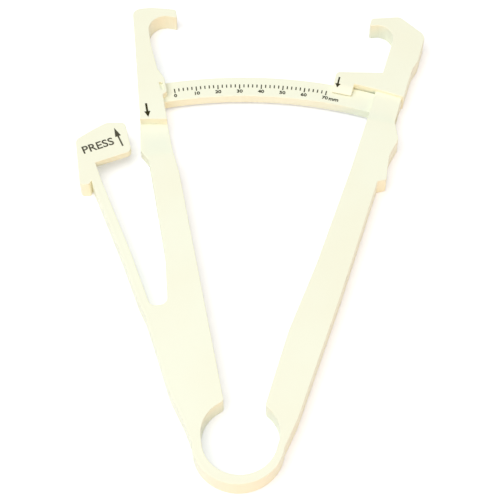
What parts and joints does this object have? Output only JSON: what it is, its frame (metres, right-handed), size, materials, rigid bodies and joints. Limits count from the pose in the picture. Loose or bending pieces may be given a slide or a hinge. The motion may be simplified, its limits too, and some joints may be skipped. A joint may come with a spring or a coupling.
{
  "type": "skinfold caliper",
  "caption": "Moulded skinfold caliper: an open spring loop, long arms with hooked jaws, a curved reading strip that slides through one arm, and a sprung press lever on the other.",
  "frame": {"origin": "the middle of the bounding box, on the flat back that the caliper lies on", "axes": "+X from the press lever's side to the finger rest's side, +Y from the spring loop to the jaws, +Z out of the printed front"},
  "size_m": [0.1244, 0.1966, 0.0071],
  "materials": {
    "ivory_plastic": "satin moulded plastic",
    "printed_ink": "matt black print"
  },
  "bodies": {
    "left_side": {"spring_loop": "ivory_plastic", "left_arm": "ivory_plastic", "index_shelf": "ivory_plastic", "left_head": "ivory_plastic", "left_jaw": "ivory_plastic", "left_foot": "ivory_plastic", "scale_strip": "ivory_plastic", "scale_ticks": "printed_ink", "left_arrow": "printed_ink"},
    "right_side": {"right_arm": "ivory_plastic", "finger_rest": "ivory_plastic", "strip_guide": "ivory_plastic", "right_head": "ivory_plastic", "pointer_tab": "ivory_plastic", "right_jaw": "ivory_plastic", "right_foot": "ivory_plastic", "pointer_arrow": "printed_ink"},
    "press_lever": {"lever_spring": "ivory_plastic", "thumb_rest": "ivory_plastic", "press_pad": "ivory_plastic", "press_arrow": "printed_ink"}
  },
  "joints": [
    {"name": "close_jaws", "type": "hinge", "parent": "left_side", "child": "right_side", "pos_m": [0.00476, -0.08312, 0.0035], "axis": [0, 0, 1], "range_deg": [0, 23.4], "stiffness_Nm_per_rad": 1.8, "deforming": ["spring_loop"]},
    {"name": "press_thumb", "type": "hinge", "parent": "left_side", "child": "press_lever", "pos_m": [-0.03891, -0.01662, 0.0035], "axis": [0, 0, -1], "range_deg": [0, 12.5], "stiffness_Nm_per_rad": 1.1, "deforming": ["lever_spring"]}
  ]
}
